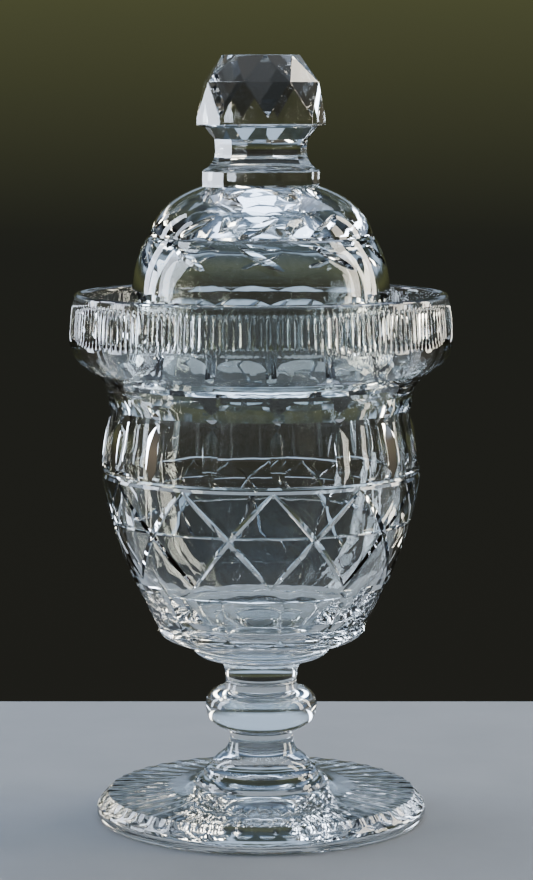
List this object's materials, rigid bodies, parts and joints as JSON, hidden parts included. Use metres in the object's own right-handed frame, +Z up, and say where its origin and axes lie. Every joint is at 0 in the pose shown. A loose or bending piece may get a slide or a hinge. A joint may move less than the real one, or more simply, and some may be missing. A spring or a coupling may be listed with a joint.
{
  "type": "covered powder jar",
  "caption": "Footed clear cut-crystal jar with a deep fluted gallery rim, a ring knop stem, and a loose domed cover with a faceted finial.",
  "frame": {"origin": "centre of the foot's resting face, on the surface it stands on", "axes": "+Z up along the jar's axis of revolution; -Y is the front, +X to the right seen from the front"},
  "size_m": [0.1146, 0.1146, 0.23],
  "materials": {
    "finial_glass": "polished cut facets",
    "finial_neck_glass": "polished cut facets",
    "cover_glass": "polished, wheel cut",
    "bowl_glass": "polished, wheel cut",
    "merese_glass": "fire polished",
    "upper_stem_glass": "fire polished",
    "knop_glass": "fire polished",
    "lower_stem_glass": "fire polished",
    "foot_glass": "polished, wheel cut, ground underneath"
  },
  "bodies": {
    "jar": {"bowl": "bowl_glass", "bowl_merese": "merese_glass", "upper_stem": "upper_stem_glass", "stem_knop": "knop_glass", "lower_stem": "lower_stem_glass", "foot": "foot_glass"},
    "cover": {"cover_dome": "cover_glass", "finial_neck": "finial_neck_glass", "finial": "finial_glass"}
  },
  "joints": [
    {"name": "cover_lift", "type": "slide", "parent": "jar", "child": "cover", "axis": [0, 0, 1], "range_m": [0, 0.1]}
  ]
}
